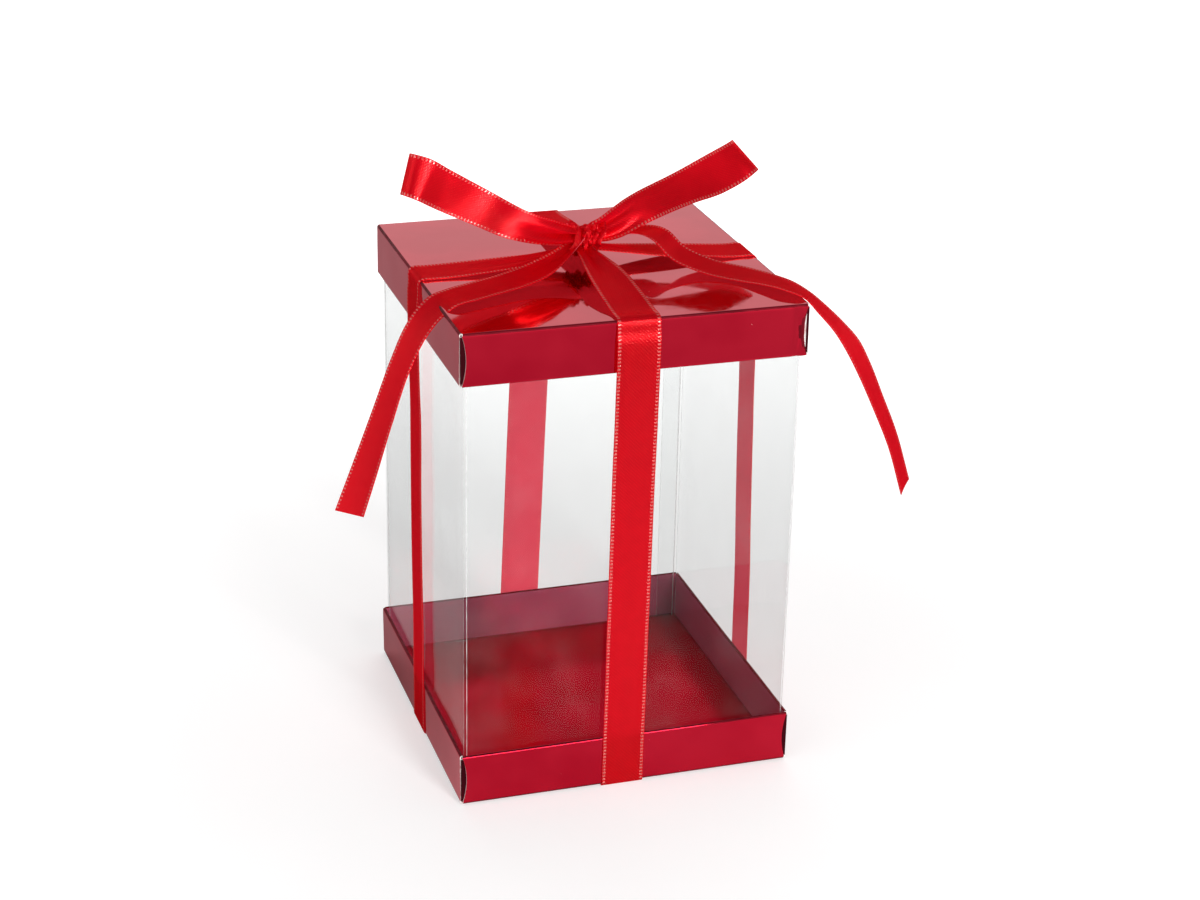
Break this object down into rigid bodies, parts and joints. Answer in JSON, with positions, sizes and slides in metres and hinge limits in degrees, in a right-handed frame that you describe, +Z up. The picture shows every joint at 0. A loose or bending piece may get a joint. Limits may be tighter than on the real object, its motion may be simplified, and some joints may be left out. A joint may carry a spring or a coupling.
{
  "type": "favor box",
  "caption": "Upright gift box: clear creased sleeve between a red foil-card base tray and lid, tied crosswise with a satin ribbon and bow; lid and sleeve lift off.",
  "frame": {"origin": "on the resting surface, under the middle of the box", "axes": "+Z up, -Y the front of the box, +X to its right"},
  "size_m": [0.1622, 0.1159, 0.1794],
  "materials": {
    "foil_card": "red metallic foil laminate, clear glossy coat, white board core at cut edges",
    "clear_film": "clear polyester film, glossy",
    "satin_ribbon": "single-face satin weave with fine corded edges"
  },
  "bodies": {
    "base": {"base_back_left_tab": "foil_card", "base_back_right_tab": "foil_card", "base_back_rollover": "foil_card", "base_back_wall": "foil_card", "base_floor": "foil_card", "base_front_left_tab": "foil_card", "base_front_right_tab": "foil_card", "base_front_rollover": "foil_card", "base_front_wall": "foil_card", "base_left_rollover": "foil_card", "base_left_wall": "foil_card", "base_right_rollover": "foil_card", "base_right_wall": "foil_card", "ribbon_front_lower": "satin_ribbon", "ribbon_right_lower": "satin_ribbon", "ribbon_back_lower": "satin_ribbon", "ribbon_left_lower": "satin_ribbon", "ribbon_bottom_side_to_side": "satin_ribbon", "ribbon_bottom_front_to_back": "satin_ribbon"},
    "sleeve": {"sleeve_back_panel": "clear_film", "sleeve_front_panel": "clear_film", "sleeve_glue_flap": "clear_film", "sleeve_left_panel": "clear_film", "sleeve_right_panel": "clear_film"},
    "lid": {"lid_back_left_tab": "foil_card", "lid_back_right_tab": "foil_card", "lid_back_rollover": "foil_card", "lid_back_wall": "foil_card", "lid_front_left_tab": "foil_card", "lid_front_right_tab": "foil_card", "lid_front_rollover": "foil_card", "lid_front_wall": "foil_card", "lid_left_rollover": "foil_card", "lid_left_wall": "foil_card", "lid_right_rollover": "foil_card", "lid_right_wall": "foil_card", "lid_top": "foil_card", "ribbon_back_top": "satin_ribbon", "ribbon_back_upper": "satin_ribbon", "ribbon_front_top": "satin_ribbon", "ribbon_front_upper": "satin_ribbon", "ribbon_knot": "satin_ribbon", "ribbon_left_loop": "satin_ribbon", "ribbon_left_tail": "satin_ribbon", "ribbon_left_top": "satin_ribbon", "ribbon_left_upper": "satin_ribbon", "ribbon_right_loop": "satin_ribbon", "ribbon_right_tail": "satin_ribbon", "ribbon_right_top": "satin_ribbon", "ribbon_right_upper": "satin_ribbon"}
  },
  "joints": [
    {"name": "sleeve_lift", "type": "slide", "parent": "base", "child": "sleeve", "axis": [0, 0, 1], "range_m": [0, 0.02], "deforming": ["ribbon_front_lower", "ribbon_right_lower", "ribbon_back_lower", "ribbon_left_lower"]},
    {"name": "lid_lift", "type": "slide", "parent": "sleeve", "child": "lid", "axis": [0, 0, 1], "range_m": [0, 0.03], "deforming": ["ribbon_front_upper", "ribbon_right_upper", "ribbon_back_upper", "ribbon_left_upper"]}
  ]
}
